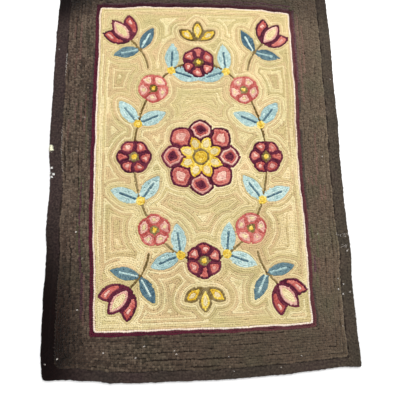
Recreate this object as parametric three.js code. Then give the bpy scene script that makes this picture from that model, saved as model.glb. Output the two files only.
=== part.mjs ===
// Hooked wool rug lying flat, with a strip of cloth folded round its edge as a binding.
// Millimetres, +Z up. +Y runs along the length, and the origin is at the centre of the underside.
import * as THREE from "three";

// The plain ground inside the border
const FIELD_WIDTH = 460;
const FIELD_LENGTH = 736;

// Heights above the floor
const ROW_CREST = 7.0;
const ROW_GROOVE = 5.4;

// The hooked rows: rings in the border, then rings in the field down to its middle line
const BORDER_ROWS = 12;
const FIELD_ROWS = 39;
const FIELD_CORNER_RADIUS = 4;

// The cloths, and the room that the binding leaves round what it wraps
const CLOTH = 1.2;
const CLEARANCE = 0.3;

// The binding: how far it reaches over the face and the back, and its turned-under inner edge
const BINDING_FRONT = 28;
const BINDING_BACK = 24;
const TURNED_EDGE = 10;
const TURNED_SLOPE = 2.5;

// The fold at the rug's edge: how far in it ends, and the steps round it
const FOLD_ROOM = 3;
const FOLD_STEPS = 4;

// The foundation's bare margin lies between the two sides of the binding
const MARGIN_BOTTOM = CLOTH + CLEARANCE;
const MARGIN_TOP = MARGIN_BOTTOM + CLOTH;
const FRONT_BOTTOM = MARGIN_TOP + CLEARANCE;
const FRONT_TOP = FRONT_BOTTOM + CLOTH;
const TURNED_TOP = FRONT_TOP + CLOTH;
const SEAM = BINDING_FRONT + CLEARANCE;

// How wide the border is, from the field's edge to the rug's, at places along each side.
// The places run from the field's middle line, to +X along the ends and to +Y along the sides.
const BOTTOM_BORDER = [
  { at: -325, width: 89 },
  { at: -277, width: 90 },
  { at: -230, width: 95 },
  { at: -183, width: 101 },
  { at: -135, width: 103 },
  { at: 35, width: 105 },
  { at: 161, width: 102 },
  { at: 213, width: 98 },
  { at: 292, width: 93 },
  { at: 325, width: 95 },
];
const TOP_BORDER = [
  { at: -325, width: 96 },
  { at: -150, width: 98 },
  { at: 60, width: 97 },
  { at: 200, width: 98 },
  { at: 325, width: 96 },
];
const LEFT_BORDER = [
  { at: -455, width: 99 },
  { at: -400, width: 103 },
  { at: -310, width: 103 },
  { at: -210, width: 100 },
  { at: -160, width: 103 },
  { at: -56, width: 99 },
  { at: 25, width: 104 },
  { at: 196, width: 101 },
  { at: 286, width: 99 },
  { at: 381, width: 95 },
  { at: 460, width: 94 },
];
const RIGHT_BORDER = [
  { at: -455, width: 100 },
  { at: -380, width: 98 },
  { at: -280, width: 97 },
  { at: -227, width: 101 },
  { at: -118, width: 97 },
  { at: -4, width: 97 },
  { at: 85, width: 100 },
  { at: 177, width: 99 },
  { at: 306, width: 101 },
  { at: 400, width: 99 },
  { at: 460, width: 98 },
];

// Rounding of the rug's four corners
const CORNER_RADIUS = { bottomLeft: 14, bottomRight: 3, topRight: 8, topLeft: 8 };

// Steps along a ring of points
const EDGE_STEPS = { end: 18, side: 24, corner: 3 };
const FIELD_STEPS = { end: 1, side: 1, corner: 2 };
const CORNER_SEARCH_STEPS = 5;

const widest = (table) => Math.max(...table.map((row) => row.width));

// The field lies off centre by half the difference of the borders, so that the rug is centred
const FIELD_X = (widest(LEFT_BORDER) - widest(RIGHT_BORDER)) / 2;
const FIELD_Y = (widest(BOTTOM_BORDER) - widest(TOP_BORDER)) / 2;

function borderWidth(table, at) {
  const next = table.findIndex((row) => row.at >= at);
  if (next === 0) return table[0].width;
  if (next < 0) return table[table.length - 1].width;
  const low = table[next - 1];
  const high = table[next];
  return THREE.MathUtils.lerp(low.width, high.width, THREE.MathUtils.smoothstep(at, low.at, high.at));
}

// A ring that runs round the field at the offset that reach() gives for the border's width there.
// It starts at the bottom left corner and runs counter-clockwise; rounding scales the corners.
function ringPoints(reach, rounding, steps) {
  const left = (y) => -FIELD_WIDTH / 2 - reach(borderWidth(LEFT_BORDER, y));
  const right = (y) => FIELD_WIDTH / 2 + reach(borderWidth(RIGHT_BORDER, y));
  const bottom = (x) => -FIELD_LENGTH / 2 - reach(borderWidth(BOTTOM_BORDER, x));
  const top = (x) => FIELD_LENGTH / 2 + reach(borderWidth(TOP_BORDER, x));

  const corners = [
    { point: cornerPoint(left, bottom), radius: CORNER_RADIUS.bottomLeft },
    { point: cornerPoint(right, bottom), radius: CORNER_RADIUS.bottomRight },
    { point: cornerPoint(right, top), radius: CORNER_RADIUS.topRight },
    { point: cornerPoint(left, top), radius: CORNER_RADIUS.topLeft },
  ];
  const shortest = corners[1].point.x - corners[0].point.x;
  const radii = corners.map(({ radius }) => {
    const wanted = THREE.MathUtils.lerp(FIELD_CORNER_RADIUS, radius, rounding);
    return Math.min(wanted, shortest / 3);
  });
  const [lowLeft, lowRight, highRight, highLeft] = corners.map(({ point }) => point);

  const sides = [
    sidePoints(lowLeft.x + radii[0], lowRight.x - radii[1], steps.end, (x) => new THREE.Vector2(x, bottom(x))),
    sidePoints(lowRight.y + radii[1], highRight.y - radii[2], steps.side, (y) => new THREE.Vector2(right(y), y)),
    sidePoints(highRight.x - radii[2], highLeft.x + radii[3], steps.end, (x) => new THREE.Vector2(x, top(x))),
    sidePoints(highLeft.y - radii[3], lowLeft.y + radii[0], steps.side, (y) => new THREE.Vector2(left(y), y)),
  ];
  const turns = [lowRight, highRight, highLeft, lowLeft];
  return sides.flatMap((side, index) => {
    const following = sides[(index + 1) % sides.length];
    return [...side, ...turnPoints(side.at(-1), turns[index], following[0], steps.corner)];
  });
}

// The edges bend, so each coordinate of a corner is found again from the other
function cornerPoint(xAt, yAt) {
  const point = new THREE.Vector2(0, 0);
  for (let step = 0; step < CORNER_SEARCH_STEPS; step += 1) {
    point.x = xAt(point.y);
    point.y = yAt(point.x);
  }
  return point;
}

function sidePoints(start, end, steps, pointAt) {
  return Array.from({ length: steps + 1 }, (_, step) => pointAt(THREE.MathUtils.lerp(start, end, step / steps)));
}

// The points between the two ends of a corner's curve
function turnPoints(from, corner, to, steps) {
  const curve = new THREE.QuadraticBezierCurve(from, corner, to);
  return Array.from({ length: steps - 1 }, (_, step) => curve.getPoint((step + 1) / steps));
}

// A closed surface gathered from rings, each lifted to its height
class RingSurface {
  constructor() {
    this.positions = [];
    this.triangles = [];
  }

  addRing(points, height) {
    const first = this.positions.length / 3;
    points.forEach((point) => this.positions.push(point.x + FIELD_X, point.y + FIELD_Y, height));
    return { points, first, count: points.length };
  }

  // The band of triangles from one ring to the next with as many points
  join(from, to) {
    for (let index = 0; index < from.count; index += 1) {
      const next = (index + 1) % from.count;
      this.triangles.push(from.first + index, from.first + next, to.first + next);
      this.triangles.push(from.first + index, to.first + next, to.first + index);
    }
  }

  // The band to a ring with fewer points: each step goes on along the ring that lags behind
  joinUnlike(from, to) {
    const fromShares = ringShares(from.points);
    const toShares = ringShares(to.points);
    let fromStep = 0;
    let toStep = 0;
    while (fromStep < from.count || toStep < to.count) {
      const a = from.first + (fromStep % from.count);
      const b = to.first + (toStep % to.count);
      if (toStep === to.count || (fromStep < from.count && fromShares[fromStep + 1] <= toShares[toStep + 1])) {
        fromStep += 1;
        this.triangles.push(a, from.first + (fromStep % from.count), b);
      } else {
        toStep += 1;
        this.triangles.push(a, to.first + (toStep % to.count), b);
      }
    }
  }

  // A flat face over a ring, turned up or down
  cap(ring, facesUp) {
    THREE.ShapeUtils.triangulateShape(ring.points, []).forEach(([a, b, c]) => {
      const order = facesUp ? [a, b, c] : [a, c, b];
      this.triangles.push(...order.map((index) => ring.first + index));
    });
  }

  geometry() {
    const geometry = new THREE.BufferGeometry();
    geometry.setAttribute("position", new THREE.Float32BufferAttribute(this.positions, 3));
    geometry.setIndex(this.triangles);
    geometry.computeVertexNormals();
    return geometry;
  }
}

// How far round its ring each point lies, by angle about the field's middle, from 0 to 1
function ringShares(points) {
  const start = points[0].angle();
  const shares = points.map((point) => {
    const turned = (point.angle() - start) / (2 * Math.PI);
    return turned < 0 ? turned + 1 : turned;
  });
  return [...shares, 1];
}

// Rings that keep a set distance in from the rug's edge, and rings shared out over the hooked border
const edgeRing = (inset) => ringPoints((width) => width - inset, 1, EDGE_STEPS);
const borderRing = (share) => ringPoints((width) => (width - SEAM) * share, share, EDGE_STEPS);
const fieldRing = (inset) => ringPoints(() => -inset, 0, FIELD_STEPS);

function hookedRug() {
  const surface = new RingSurface();
  const underside = surface.addRing(edgeRing(BINDING_BACK + CLEARANCE), 0);
  surface.cap(underside, false);

  // Out under the bare margin, round its edge, and back to the foot of the pile
  const margin = [
    { inset: BINDING_BACK + CLEARANCE, height: MARGIN_BOTTOM },
    { inset: FOLD_ROOM, height: MARGIN_BOTTOM },
    { inset: FOLD_ROOM, height: MARGIN_TOP },
    { inset: SEAM, height: MARGIN_TOP },
  ];
  let last = underside;
  const carryOn = (ring) => {
    surface.join(last, ring);
    last = ring;
  };
  margin.forEach(({ inset, height }) => carryOn(surface.addRing(edgeRing(inset), height)));

  // The border's rows, each a crest with a groove on either side
  carryOn(surface.addRing(borderRing(1), ROW_GROOVE));
  for (let row = 0; row < BORDER_ROWS; row += 1) {
    carryOn(surface.addRing(borderRing(1 - (row + 0.5) / BORDER_ROWS), ROW_CREST));
    carryOn(surface.addRing(borderRing(1 - (row + 1) / BORDER_ROWS), ROW_GROOVE));
  }

  // The field's rows, down to a last flat crest along its middle line
  const pitch = FIELD_WIDTH / 2 / FIELD_ROWS;
  for (let row = 0; row < FIELD_ROWS; row += 1) {
    const crest = surface.addRing(fieldRing((row + 0.5) * pitch), ROW_CREST);
    if (row === 0) {
      surface.joinUnlike(last, crest);
      last = crest;
    } else {
      carryOn(crest);
    }
    if (row < FIELD_ROWS - 1) carryOn(surface.addRing(fieldRing((row + 1) * pitch), ROW_GROOVE));
  }
  surface.cap(last, true);
  return surface.geometry();
}

// The half-round fold at the rug's edge, from the back up to the face
function foldPoints(across, up) {
  return Array.from({ length: FOLD_STEPS + 1 }, (_, step) => {
    const angle = THREE.MathUtils.lerp(-Math.PI / 2, Math.PI / 2, step / FOLD_STEPS);
    return { inset: FOLD_ROOM - Math.cos(angle) * across, height: FRONT_TOP / 2 + Math.sin(angle) * up };
  });
}

// The binding's section: along its back, round the fold, over the face to the seam, and back inside
function edgeBinding() {
  const section = [
    { inset: BINDING_BACK, height: 0 },
    ...foldPoints(FOLD_ROOM, FRONT_TOP / 2),
    { inset: BINDING_FRONT - TURNED_EDGE - TURNED_SLOPE, height: FRONT_TOP },
    { inset: BINDING_FRONT - TURNED_EDGE, height: TURNED_TOP },
    { inset: BINDING_FRONT - CLOTH, height: TURNED_TOP },
    { inset: BINDING_FRONT, height: TURNED_TOP - CLOTH },
    { inset: BINDING_FRONT, height: FRONT_BOTTOM },
    ...foldPoints(FOLD_ROOM - CLOTH, FRONT_TOP / 2 - CLOTH).reverse(),
    { inset: BINDING_BACK, height: CLOTH },
  ];
  const surface = new RingSurface();
  const rings = section.map(({ inset, height }) => surface.addRing(edgeRing(inset), height));
  rings.forEach((ring, index) => surface.join(ring, rings[(index + 1) % rings.length]));
  return surface.geometry();
}

function namedMesh(name, geometry, colour) {
  const material = new THREE.MeshStandardMaterial({ color: colour, roughness: 0.95, metalness: 0 });
  const mesh = new THREE.Mesh(geometry, material);
  mesh.name = name;
  return mesh;
}

const rug = new THREE.Group();
rug.add(namedMesh("hooked_rug", hookedRug(), 0xb59f7c));
rug.add(namedMesh("edge_binding", edgeBinding(), 0x40352f));

export default rug;
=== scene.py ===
import math

import bmesh
import bpy
import numpy as np
from mathutils import Matrix, Vector
from mathutils.geometry import delaunay_2d_cdt
from mathutils.kdtree import KDTree


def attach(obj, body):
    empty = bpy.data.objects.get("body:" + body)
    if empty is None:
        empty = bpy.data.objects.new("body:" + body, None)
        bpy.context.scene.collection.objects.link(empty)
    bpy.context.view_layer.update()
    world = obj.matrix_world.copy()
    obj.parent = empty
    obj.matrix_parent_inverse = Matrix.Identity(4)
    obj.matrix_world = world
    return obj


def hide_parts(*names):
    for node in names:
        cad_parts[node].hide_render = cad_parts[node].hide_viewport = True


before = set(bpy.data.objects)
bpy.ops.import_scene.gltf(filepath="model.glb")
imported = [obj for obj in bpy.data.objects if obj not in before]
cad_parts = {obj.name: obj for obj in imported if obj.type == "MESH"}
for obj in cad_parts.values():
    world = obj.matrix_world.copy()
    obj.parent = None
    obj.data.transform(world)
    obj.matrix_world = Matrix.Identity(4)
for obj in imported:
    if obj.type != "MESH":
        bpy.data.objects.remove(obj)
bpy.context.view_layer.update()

MM = 0.001
SEED = 11

# The light ground, and the border round it as (place along the side, width there)
FIELD_WIDTH, FIELD_LENGTH = 460.0, 736.0
BOTTOM_BORDER = (
    (-325, 89), (-277, 90), (-230, 95), (-183, 101), (-135, 103),
    (35, 105), (161, 102), (213, 98), (292, 93), (325, 95),
)
TOP_BORDER = ((-325, 96), (-150, 98), (60, 97), (200, 98), (325, 96))
LEFT_BORDER = (
    (-455, 99), (-400, 103), (-310, 103), (-210, 100), (-160, 103), (-56, 99),
    (25, 104), (196, 101), (286, 99), (381, 95), (460, 94),
)
RIGHT_BORDER = (
    (-455, 100), (-380, 98), (-280, 97), (-227, 101), (-118, 97), (-4, 97),
    (85, 100), (177, 99), (306, 101), (400, 99), (460, 98),
)
# How far the light ground bulges past a straight side, as (place along the side, how far out)
BOTTOM_BULGE = ((-230, 2.2), (-187, 3.6), (-41, 4.0), (60, 6.2), (111, 4.6), (180, 4.6), (230, 2.0))
TOP_BULGE = (
    (-230, 1.0), (-185, 0.5), (-126, 6.8), (-49, 7.5), (20, 10.0), (150, 8.8), (200, 3.5), (230, 1.0),
)
LEFT_BULGE = (
    (-368, 0.0), (-306, 1.5), (-257, 1.6), (-165, 6.4), (-35, 6.6), (56, 5.6), (171, 4.5), (230, 2.0),
    (333, 2.0), (368, 0.0),
)
RIGHT_BULGE = (
    (-368, 0.0), (-290, -2.4), (-246, -0.6), (-140, -1.4), (-48, -5.2), (88, -3.4), (140, -0.2), (368, -0.8),
)
# Room for the bulges in a plan of the field
FIELD_ROOM = 12.0
# How far the binding reaches over the face, as (place along the side, reach)
BOTTOM_FRONT = ((-325, 24.0), (-180, 21.5), (150, 21.0), (325, 18.5))
TOP_FRONT = ((-325, 24.0), (325, 24.0))
SIDE_FRONT = ((-460, 28.0), (460, 28.0))
# Corner rounding of the rug from the bottom left, counter-clockwise, and of the field, and steps round it
CORNER_RADII = (14, 3, 8, 8)
FIELD_CORNER_RADIUS = 4
CORNER_STEPS = 8


def widest(table):
    return max(width for _, width in table)


# The rug is centred on its outer edge, so the field lies a little off centre
FIELD_CENTRE = np.array([
    (widest(LEFT_BORDER) - widest(RIGHT_BORDER)) / 2,
    (widest(BOTTOM_BORDER) - widest(TOP_BORDER)) / 2,
])

# Heights: the foundation cloth, its margin inside the binding, and the binding itself
FOUNDATION_TOP = 1.6
MARGIN_BOTTOM, MARGIN_TOP = 1.5, 2.7
CLOTH = 1.2
BINDING_TOP = 4.2
TURNED_TOP = 5.4

# The binding's full reach over the face and the back, its turned-under edge, and the fold at the rim
BINDING_FRONT = 28.0
BINDING_BACK = 24.0
TURNED_EDGE = 10.0
FOLD_ROOM = 3.0
# Where the foundation starts to rise into the binding, and how far the outermost row lies off the seam
SEAM = BINDING_FRONT + 0.3
SEAM_GAP = 0.6

# A hooked row, and the loops along it, each wide enough to press against its neighbours
ROW_PITCH = 4.4
LOOP_STEP = 3.6
LOOP = {"Length": 5.6, "Width": 6.6, "Height": 5.0, "Spread": 0.08}
LINE_LOOP = {"Length": 5.4, "Width": 5.6, "Height": 5.0, "Spread": 0.1}
# The border's loops are larger and less even, so that few of its rows stand out
BORDER_ROWS = 14
BORDER_STEP = 4.1
BORDER_LOOP = {"Length": 7.2, "Width": 7.2, "Height": 4.8, "Spread": 0.15}
# What all loops have in common, and the seed of the first wool's loops
LOOP_JITTER = {"Blunt": 1.0, "Turn": 0.22, "Lean": 0.14}
LOOP_SEED = 20

# Rows along the field's edge, by how far out they lie: one cream, two maroon, then the border's own
LINE_ROWS = (("cream", -1.7), ("edge_maroon", 2.3), ("edge_maroon", 6.2))
LINES_WIDTH = 8.4
# The ground's rows start inside the cream one
CREAM_WIDTH = 3.7
# How far rows stray from their lines, and the lengths of the waves in which they do
LINE_WANDER, BORDER_WANDER, FIELD_WANDER = 0.8, 0.9, 0.5
WANDER_WAVES = (41, 67, 113)
# The cut strips of wool: shortest and longest, how much their shades differ, and those of the loops in one
LINE_STRIPS = ((90, 320), 0.3, 0.12)
BORDER_STRIPS = ((50, 200), 0.14, 0.17)
GROUND_STRIPS = ((90, 360), 0.4, 0.12)
MOTIF_STRIPS = ((90, 360), 0.4, 0.24)

# The wools, each from its darkest strip to its palest, as colours on a screen
WOOLS = {
    "border": ((64, 52, 43), (95, 79, 66), (124, 107, 91)),
    "edge_maroon": ((80, 2, 38), (90, 31, 47), (104, 61, 61)),
    "maroon": ((70, 16, 38), (98, 28, 54), (116, 48, 64)),
    "plum": ((77, 49, 57), (93, 62, 69), (106, 78, 82)),
    "moss": ((79, 74, 55), (95, 87, 67), (110, 102, 81)),
    "rust": ((94, 71, 61), (110, 84, 74), (125, 99, 88)),
    "umber": ((57, 47, 43), (72, 61, 55), (87, 76, 67)),
    "cream": ((228, 204, 178), (242, 222, 200), (250, 236, 220)),
    "tan": ((203, 177, 130), (213, 188, 141), (223, 198, 151)),
    "sand": ((199, 178, 127), (210, 191, 138), (220, 202, 148)),
    "butter": ((215, 196, 145), (228, 210, 159), (238, 224, 179)),
    "coral": ((176, 76, 72), (199, 104, 96), (214, 132, 119)),
    "pink": ((212, 150, 140), (226, 177, 162), (240, 202, 182)),
    "pale_blue": ((158, 188, 188), (184, 211, 208), (208, 226, 219)),
    "steel_blue": ((62, 92, 108), (88, 119, 132), (114, 142, 148)),
    "gold": ((214, 170, 44), (234, 200, 72), (246, 224, 128)),
    "olive": ((96, 74, 32), (128, 106, 58), (150, 132, 92)),
}
# Patches where a dye has turned warmer or cooler than the rest
TINTS = {
    "border": ((102, 79, 68), (86, 85, 65)),
    "tan": ((224, 190, 150), (204, 197, 145)),
    "sand": ((218, 188, 146), (203, 199, 140)),
    "butter": ((236, 210, 172), (228, 221, 163)),
}
TINT_AMOUNT = 0.25
# Sewing thread, lint and fluff
THREADS = {
    "dark_thread": ((40, 30, 28), (74, 60, 52)),
    "pale_thread": ((150, 138, 126), (222, 212, 202), (248, 242, 236)),
    "white_lint": ((226, 224, 220), (253, 252, 248)),
    "fluff": ((252, 250, 206), (255, 255, 232)),
}
BINDING_TONES = ((48, 39, 36), (72, 63, 54), (94, 83, 71))
BINDING_TINTS = ((66, 49, 51), (63, 61, 54))
# The foundation's linen, and how much of it shows between the strips on the back
LINEN = (176, 150, 112)
LINEN_SHARE = 0.35


# Lines and rings in the rug's plane

def smooth(share):
    """A soft step for shares from 0 to 1."""
    return share * share * (3 - 2 * share)


def rise(value, start, width):
    """From 0 at a start to 1 a width farther on."""
    return np.clip((value - start) / width, 0, 1)


def along_side(table, at):
    """A table's value at places along a side, with soft steps between its rows."""
    places, values = np.array(table, float).T
    after = np.clip(np.searchsorted(places, at), 1, len(places) - 1)
    share = smooth(rise(at, places[after - 1], places[after] - places[after - 1]))
    return values[after - 1] + share * (values[after] - values[after - 1])


def curve(start, towards, end, share):
    """Places at shares of the way along a curve that is drawn towards a point."""
    share = share[:, None]
    return (1 - share) ** 2 * start + 2 * share * (1 - share) * towards + share ** 2 * end


def corner(x_at, y_at, rounds=5):
    """Where two bent sides meet: each coordinate is found again from the other."""
    x, y = 0.0, 0.0
    for _ in range(rounds):
        x = float(x_at(y))
        y = float(y_at(x))
    return np.array([x, y])


def join_sides(sides, corners):
    """One closed line: each side, and then a curve round the corner after it."""
    share = np.arange(1, CORNER_STEPS) / CORNER_STEPS
    line = []
    for number, side in enumerate(sides):
        onward = (number + 1) % len(sides)
        line += [side, curve(side[-1], corners[onward], sides[onward][0], share)]
    return np.vstack(line)


def ring(reach, out=1.0, end_steps=260, side_steps=360):
    """A closed line round the field, counter-clockwise.

    It lies at the offset that reach gives for the widths of the border and of the binding's front. It has the
    field's own bulges and corners where out is 0, and the rug's where it is 1.
    """
    def side(way, size, border, bulge, front):
        """A function for where a side lies, at places along it."""
        def across(at):
            offset = reach(along_side(border, at), along_side(front, at)) + (1 - out) * along_side(bulge, at)
            return way * (size / 2 + offset)

        return across

    left = side(-1, FIELD_WIDTH, LEFT_BORDER, LEFT_BULGE, SIDE_FRONT)
    right = side(1, FIELD_WIDTH, RIGHT_BORDER, RIGHT_BULGE, SIDE_FRONT)
    bottom = side(-1, FIELD_LENGTH, BOTTOM_BORDER, BOTTOM_BULGE, BOTTOM_FRONT)
    top = side(1, FIELD_LENGTH, TOP_BORDER, TOP_BULGE, TOP_FRONT)
    corners = [corner(left, bottom), corner(right, bottom), corner(right, top), corner(left, top)]
    radii = FIELD_CORNER_RADIUS + out * (np.array(CORNER_RADII) - FIELD_CORNER_RADIUS)
    low_x = np.linspace(corners[0][0] + radii[0], corners[1][0] - radii[1], end_steps + 1)
    right_y = np.linspace(corners[1][1] + radii[1], corners[2][1] - radii[2], side_steps + 1)
    high_x = np.linspace(corners[2][0] - radii[2], corners[3][0] + radii[3], end_steps + 1)
    left_y = np.linspace(corners[3][1] - radii[3], corners[0][1] + radii[0], side_steps + 1)
    sides = [
        np.column_stack((low_x, bottom(low_x))),
        np.column_stack((right(right_y), right_y)),
        np.column_stack((high_x, top(high_x))),
        np.column_stack((left(left_y), left_y)),
    ]
    return join_sides(sides, corners) + FIELD_CENTRE


def edge_ring(inset):
    """A line round the rug, inset from its edge."""
    return ring(lambda width, front: width - inset)


def front_ring(share):
    """A line round the binding's front, a share of the way from the rug's edge to the seam."""
    return ring(lambda width, front: width - share * front)


def field_ring(offset, **steps):
    """A line round the field, offset from its edge."""
    return ring(lambda width, front: offset + 0 * width, out=0.0, **steps)


def border_ring(share):
    """A line round the border, a share of the way from the maroon rows to the seam."""
    def reach(width, front):
        return LINES_WIDTH + (width - front - SEAM_GAP - LINES_WIDTH) * share

    return ring(reach, out=share)


def distances_along(path):
    return np.concatenate(([0.0], np.cumsum(np.hypot(*np.diff(path, axis=0).T))))


def resample(line, step, closed=True):
    """Even places along a line, the direction of the line there, and how far along it they are."""
    path = np.vstack((line, line[:1])) if closed else np.asarray(line, float)
    run = distances_along(path)
    count = max(1, round(run[-1] / step))
    along = (np.arange(count) + 0.5) * run[-1] / count

    def places(at):
        at = at % run[-1] if closed else np.clip(at, 0, run[-1])
        return np.column_stack([np.interp(at, run, path[:, axis]) for axis in (0, 1)])

    ahead = places(along + step / 2) - places(along - step / 2)
    return places(along), ahead / np.maximum(np.hypot(*ahead.T), 1e-6)[:, None], along


def inside(points, outline):
    """Which of the points lie inside a closed outline."""
    x, y = points.T
    result = np.zeros(len(points), bool)
    for (x0, y0), (x1, y1) in zip(outline, np.roll(outline, -1, axis=0)):
        if y0 != y1:
            result ^= ((y0 > y) != (y1 > y)) & (x < (x1 - x0) * (y - y0) / (y1 - y0) + x0)
    return result


def tree_of(points):
    tree = KDTree(len(points))
    for number, point in enumerate(points.tolist()):
        tree.insert((point[0], point[1], 0.0), number)
    tree.balance()
    return tree


def distances(points, tree):
    return np.array([tree.find((x, y, 0.0))[2] for x, y in points.tolist()])


def insets(points, step=3):
    """How far points lie from the rug's edge, which is taken in small steps."""
    return distances(points, tree_of(resample(edge_ring(0), step)[0]))


# Rows of loops

class Hooking:
    """The loops of each wool: places, directions along the row, and shades."""

    def __init__(self):
        self.rows = {wool: [] for wool in WOOLS}

    def add(self, wool, points, directions, shades, chosen=slice(None)):
        """Adds the chosen loops of a row, or all of them."""
        self.rows[wool].append(np.column_stack((points, directions, shades))[chosen])

    def loops(self, wool):
        return np.vstack(self.rows[wool])


def strip_shades(along, draw, lengths, between, within):
    """The number of the cut strip that each loop of a row belongs to, and the loop's shade from 0 to 1."""
    shortest, longest = lengths
    cuts = np.cumsum(draw.uniform(shortest, longest, int(along[-1] / shortest) + 2))
    strip = np.searchsorted(cuts - draw.uniform(0, shortest), along)
    shades = 0.5 + between * draw.uniform(-1, 1, strip.max() + 1)
    return strip, np.clip(shades[strip] + draw.normal(0, within, len(strip)), 0, 1)


def sideways(directions):
    """To the left of each direction."""
    return np.column_stack((-directions[:, 1], directions[:, 0]))


def wander(points, directions, along, draw, amount):
    """Moves a row's places sideways in slow, uneven waves, as a row hooked by hand."""
    waves = sum(
        np.sin(along * 2 * math.pi / length + draw.uniform(0, 2 * math.pi))
        for length in WANDER_WAVES
    )
    return points + sideways(directions) * (waves * amount / 2)[:, None]


# A side of the border: the axis across it, and which way along that axis it lies
LEFT, RIGHT, TOP = (0, -1), (0, 1), (1, 1)
# Grooves between the border's rows: (row inside it, where it starts and ends as shares of the way round
# from the bottom left corner, how far it opens)
LONG_GROOVES = (
    (9, 0.042, 0.140, 3.2), (6, 0.044, 0.092, 2.4), (8, 0.036, 0.060, 1.8), (4, 0.124, 0.150, 2.0),
    (12, 0.086, 0.112, 3.4), (9, 0.140, 0.176, 2.2), (6, 0.225, 0.285, 1.4), (10, 0.240, 0.300, 2.2),
    (8, 0.905, 0.965, 3.8), (12, 0.772, 0.830, 3.0), (9, 0.722, 0.760, 2.6), (0, 0.070, 0.170, 1.8),
    (11, 0.180, 0.245, 1.6), (8, 0.186, 0.232, 1.3), (12, 0.235, 0.330, 1.4),
    (5, 0.830, 0.880, 3.2), (12, 0.832, 0.872, 4.0), (11, 0.793, 0.818, 3.6), (7, 0.708, 0.728, 3.4),
)
# Short grooves anywhere: how many, the last place where one starts, and the least and most of their lengths,
# as shares of the way round, and of their openings
SHORT_GROOVES = 26
SHORT_GROOVE_LAST = 0.97
SHORT_GROOVE_LENGTH = (0.006, 0.03)
SHORT_GROOVE_OPENING = (0.8, 2.0)
# How steeply a groove opens at its ends
GROOVE_ENDS = 2.5
# The outermost row is paler along the long sides, from this far across the rug
OUTER_ROW_PALER = 0.14
LONG_SIDE_FROM = 258.3
# How far a border loop strays from its row
LOOSE_LOOPS = 0.46
# How uneven the border's shades are, as (place across the rug, share)
UNEVEN_SHADES = ((-330, 1.6), (-130, 1.7), (0, 0.8), (330, 0.7))
# A maroon row's shade: how much of the strip's own it keeps, how much paler it gets towards the right, and
# how much of that it has in the middle of the rug
MAROON_STRIP, MAROON_PALER, MAROON_MIDDLE = 0.5, 0.6, 0.4
# Strips of other wools in the border: (wool, row, side, from and to along that side)
ODD_STRIPS = (
    ("plum", 4, LEFT, -150, -40), ("moss", 3, LEFT, -130, -42), ("moss", 5, LEFT, -110, -42),
    ("moss", 5, LEFT, -212, -134), ("plum", 4, LEFT, -246, -156), ("plum", 3, LEFT, -340, -246),
    ("moss", 3, LEFT, -236, -150), ("rust", 2, LEFT, -350, -250), ("umber", 0, LEFT, -20, 262),
    ("umber", 1, LEFT, 60, 180), ("moss", 2, LEFT, 0, 120), ("rust", 3, LEFT, 60, 150),
    ("rust", 5, LEFT, 84, 132), ("rust", 7, LEFT, 236, 330), ("rust", 9, LEFT, 190, 250),
    ("rust", 10, LEFT, 290, 345), ("rust", 8, LEFT, 80, 130), ("rust", 11, LEFT, 40, 90),
    ("rust", 2, RIGHT, -60, -44), ("rust", 4, RIGHT, -64, -42), ("rust", 6, RIGHT, -66, -40),
    ("rust", 8, RIGHT, -98, -62), ("rust", 10, RIGHT, -96, -64), ("plum", 1, RIGHT, -258, -224),
    ("moss", 1, RIGHT, -186, -158), ("moss", 4, RIGHT, -194, -166), ("moss", 3, RIGHT, -226, -192),
    ("rust", 3, RIGHT, -262, -226), ("moss", 2, RIGHT, -292, -262), ("umber", 0, RIGHT, -372, -290),
    ("umber", 0, RIGHT, -120, 70), ("rust", 7, RIGHT, -40, 60), ("umber", 0, RIGHT, 110, 190),
    ("plum", 0, RIGHT, 190, 380), ("rust", 2, RIGHT, 140, 372), ("rust", 4, RIGHT, 210, 340),
    ("plum", 0, TOP, -226, 232), ("plum", 2, TOP, 40, 236),
)
BORDER_WOOLS = {"border", *(strip[0] for strip in ODD_STRIPS)}
LINE_WOOLS = {wool for wool, _ in LINE_ROWS}


def border_grooves(draw):
    grooves = list(LONG_GROOVES)
    for _ in range(SHORT_GROOVES):
        start = draw.uniform(0, SHORT_GROOVE_LAST)
        end = start + draw.uniform(*SHORT_GROOVE_LENGTH)
        row = draw.integers(0, BORDER_ROWS - 1)
        grooves.append((row, start, end, draw.uniform(*SHORT_GROOVE_OPENING)))
    return grooves


def groove_shift(row, share, grooves):
    """How far a border row is pushed towards the field at each share of the way round."""
    shift = np.zeros(len(share))
    for inner, start, end, opening in grooves:
        if row in (inner, inner + 1):
            middle = rise(share, start, end - start)
            push = opening / 2 * np.minimum(1, GROOVE_ENDS * np.sin(math.pi * middle))
            shift += push if row == inner else -push
    return shift


def hook_lines(hooking, draw):
    """The rows along the field's edge. The maroon ones are paler to the right."""
    for wool, offset in LINE_ROWS:
        points, directions, along = resample(field_ring(offset), LOOP_STEP)
        points = wander(points, directions, along, draw, LINE_WANDER)
        _, shades = strip_shades(along, draw, *LINE_STRIPS)
        if wool == "edge_maroon":
            across = np.clip(MAROON_MIDDLE + points[:, 0] / FIELD_WIDTH, 0, 1)
            shades = MAROON_STRIP * shades + MAROON_PALER * across
        hooking.add(wool, points, directions, shades)


def border_wools(row, points):
    """The wool of each loop in a border row."""
    wools = np.full(len(points), "border", dtype=object)
    for wool, odd_row, (axis, way), start, end in ODD_STRIPS:
        if odd_row == row:
            beside = points[:, axis] * way > (FIELD_WIDTH, FIELD_LENGTH)[axis] / 2
            along = points[:, 1 - axis]
            wools[beside & (along > start) & (along < end)] = wool
    return wools


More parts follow.
